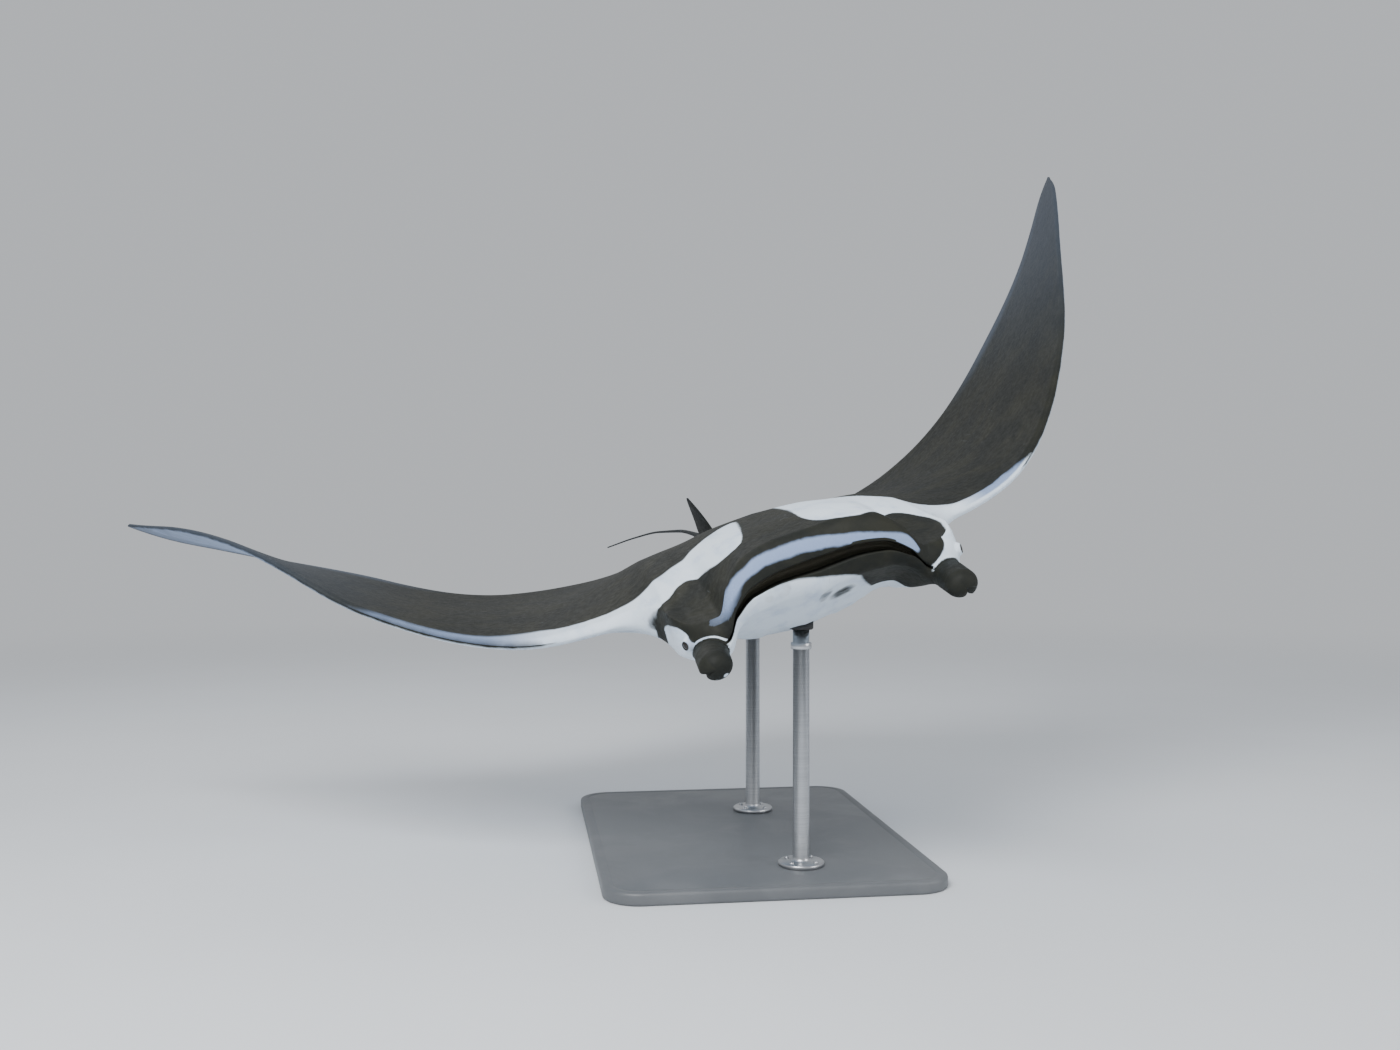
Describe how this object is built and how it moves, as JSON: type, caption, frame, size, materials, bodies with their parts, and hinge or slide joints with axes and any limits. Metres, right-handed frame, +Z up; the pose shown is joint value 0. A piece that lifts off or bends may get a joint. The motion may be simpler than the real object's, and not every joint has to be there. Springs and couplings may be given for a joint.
{
  "type": "manta ray",
  "caption": "Life-size still model of a giant manta ray banking on raised wings, held over a flat base by two rods.",
  "frame": {"origin": "centre of the stand base's underside", "axes": "+Z up, the animal faces -Y, +X towards its left wing"},
  "size_m": [3.732, 3.7727, 2.6615],
  "materials": {
    "skin": "smooth sealed hide, charcoal black above with white shoulder patches, a pale lip band and a white belly",
    "eyes": "glossy dark eye",
    "stand": "satin grey paint"
  },
  "bodies": {
    "root": {"head": "skin", "trunk": "skin", "pectoral_fin_left_inner": "skin", "pectoral_fin_left_outer": "skin", "pectoral_fin_right_inner": "skin", "pectoral_fin_right_outer": "skin", "cephalic_fin_left": "skin", "cephalic_fin_right": "skin", "eye_left": "eyes", "eye_right": "eyes", "dorsal_fin": "skin", "pelvic_fin_left": "skin", "pelvic_fin_right": "skin", "tail_front": "skin", "tail_middle": "skin", "tail_tip": "skin", "stand_base": "stand", "stand_rod_front": "stand", "stand_rod_rear": "stand"}
  },
  "joints": []
}
